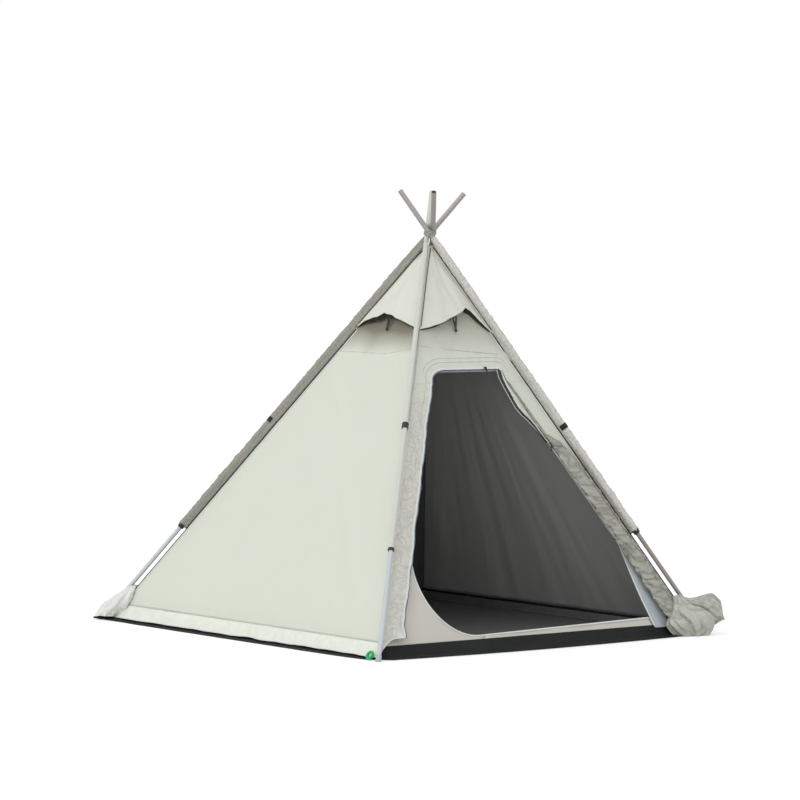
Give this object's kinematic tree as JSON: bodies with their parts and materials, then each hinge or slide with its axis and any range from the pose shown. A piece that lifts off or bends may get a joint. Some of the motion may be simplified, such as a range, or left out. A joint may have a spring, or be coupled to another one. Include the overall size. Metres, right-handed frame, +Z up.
{
  "type": "pyramid tent",
  "caption": "Square pyramid tent hung from outside poles that cross over its peak, with a tied-back door, an inner tent, a vented cap and telescopic pole legs.",
  "frame": {"origin": "on the ground, in the middle of the square of the pole feet, at the underside of the groundsheet", "axes": "+Z up, the doorway's wall faces -Y, +X to the right as seen from in front of the doorway"},
  "size_m": [2.5543, 2.5567, 2.4435],
  "materials": {
    "white_tube": "satin off-white coating",
    "grey_tube": "satin grey-blue",
    "black_plastic": "black",
    "grey_plastic": "grey",
    "green_plastic": "green",
    "cream_cloth": "matt woven cloth, cream with a green tint",
    "sleeve_cloth": "matt woven cloth, grey-beige",
    "inner_cloth": "thin breathable cloth, grey",
    "mesh_cloth": "dark netting",
    "groundsheet": "coated black cloth",
    "white_cord": "braided cord"
  },
  "bodies": {
    "tent": {"band_back_left": "black_plastic", "band_back_right": "black_plastic", "band_door_right": "black_plastic", "cap_back": "cream_cloth", "cap_front": "cream_cloth", "cap_left": "cream_cloth", "cap_right": "cream_cloth", "door_tie": "sleeve_cloth", "door_wall_left": "cream_cloth", "door_wall_right": "cream_cloth", "door_wall_top": "cream_cloth", "front_clip": "black_plastic", "groundsheet": "groundsheet", "inner_door": "inner_cloth", "inner_wall_back": "inner_cloth", "inner_wall_front": "inner_cloth", "inner_wall_left": "inner_cloth", "inner_wall_right": "inner_cloth", "lashing_cord": "white_cord", "outer_door": "cream_cloth", "peak_toggle": "black_plastic", "peg_ring": "green_plastic", "pocket_back_left": "cream_cloth", "pocket_back_right": "cream_cloth", "pocket_door_right": "cream_cloth", "pole_back_left_tip": "black_plastic", "pole_back_left_tube": "white_tube", "pole_back_right_tip": "black_plastic", "pole_back_right_tube": "white_tube", "pole_door_left_tip": "black_plastic", "pole_door_left_tube": "white_tube", "pole_door_right_tip": "black_plastic", "pole_door_right_tube": "white_tube", "skirt_back": "cream_cloth", "skirt_left": "cream_cloth", "skirt_right": "cream_cloth", "sleeve_back_left": "sleeve_cloth", "sleeve_back_right": "sleeve_cloth", "sleeve_door_right": "sleeve_cloth", "vent_mesh": "mesh_cloth", "wall_back": "cream_cloth", "wall_left": "cream_cloth", "wall_right": "cream_cloth"},
    "leg_door_left": {"pole_door_left_leg": "grey_tube", "pole_door_left_foot": "grey_plastic"},
    "lock_door_left": {"pole_door_left_collar": "black_plastic"},
    "leg_door_right": {"pole_door_right_leg": "grey_tube", "pole_door_right_foot": "grey_plastic"},
    "lock_door_right": {"pole_door_right_collar": "black_plastic"},
    "leg_back_right": {"pole_back_right_leg": "grey_tube", "pole_back_right_foot": "grey_plastic"},
    "lock_back_right": {"pole_back_right_collar": "black_plastic"},
    "leg_back_left": {"pole_back_left_leg": "grey_tube", "pole_back_left_foot": "grey_plastic"},
    "lock_back_left": {"pole_back_left_collar": "black_plastic"},
    "prop_front": {"vent_prop_front": "black_plastic"},
    "prop_right": {"vent_prop_right": "black_plastic"},
    "prop_back": {"vent_prop_back": "black_plastic"},
    "prop_left": {"vent_prop_left": "black_plastic"},
    "zip": {"outer_zip_slider": "black_plastic"}
  },
  "joints": [
    {"name": "leg_door_left_slide", "type": "slide", "parent": "tent", "child": "leg_door_left", "axis": [0.4578, 0.4085, 0.7897], "range_m": [0, 0.4]},
    {"name": "leg_door_right_slide", "type": "slide", "parent": "tent", "child": "leg_door_right", "axis": [-0.4192, 0.4071, 0.8115], "range_m": [0, 0.4]},
    {"name": "leg_back_right_slide", "type": "slide", "parent": "tent", "child": "leg_back_right", "axis": [-0.397, -0.4628, 0.7926], "range_m": [0, 0.4]},
    {"name": "leg_back_left_slide", "type": "slide", "parent": "tent", "child": "leg_back_left", "axis": [0.4592, -0.4392, 0.7721], "range_m": [0, 0.4]},
    {"name": "lock_door_left_twist", "type": "hinge", "parent": "tent", "child": "lock_door_left", "pos_m": [-0.8841, -0.91817, 0.54486], "axis": [0.4578, 0.4085, 0.7897], "range_deg": [0, 90]},
    {"name": "lock_door_right_twist", "type": "hinge", "parent": "tent", "child": "lock_door_right", "pos_m": [0.91074, -0.91909, 0.55993], "axis": [-0.4192, 0.4071, 0.8115], "range_deg": [0, 90]},
    {"name": "lock_back_right_twist", "type": "hinge", "parent": "tent", "child": "lock_back_right", "pos_m": [0.92605, 0.8807, 0.5469], "axis": [-0.397, -0.4628, 0.7926], "range_deg": [0, 90]},
    {"name": "lock_back_left_twist", "type": "hinge", "parent": "tent", "child": "lock_back_left", "pos_m": [-0.88316, 0.89692, 0.53278], "axis": [0.4592, -0.4392, 0.7721], "range_deg": [0, 90]},
    {"name": "prop_front_hinge", "type": "hinge", "parent": "tent", "child": "prop_front", "pos_m": [0.06646, -0.32856, 1.66784], "axis": [-1, 0, 0], "range_deg": [0, 17]},
    {"name": "prop_right_hinge", "type": "hinge", "parent": "tent", "child": "prop_right", "pos_m": [0.33785, -0.05719, 1.66784], "axis": [0, -1, 0], "range_deg": [0, 17]},
    {"name": "prop_back_hinge", "type": "hinge", "parent": "tent", "child": "prop_back", "pos_m": [0.06646, 0.2139, 1.66784], "axis": [1, 0, 0], "range_deg": [0, 17]},
    {"name": "prop_left_hinge", "type": "hinge", "parent": "tent", "child": "prop_left", "pos_m": [-0.20461, -0.05719, 1.66784], "axis": [0, 1, 0], "range_deg": [0, 17]},
    {"name": "zip_slide", "type": "slide", "parent": "tent", "child": "zip", "axis": [-1, 0, 0], "range_m": [0, 0.28]}
  ]
}
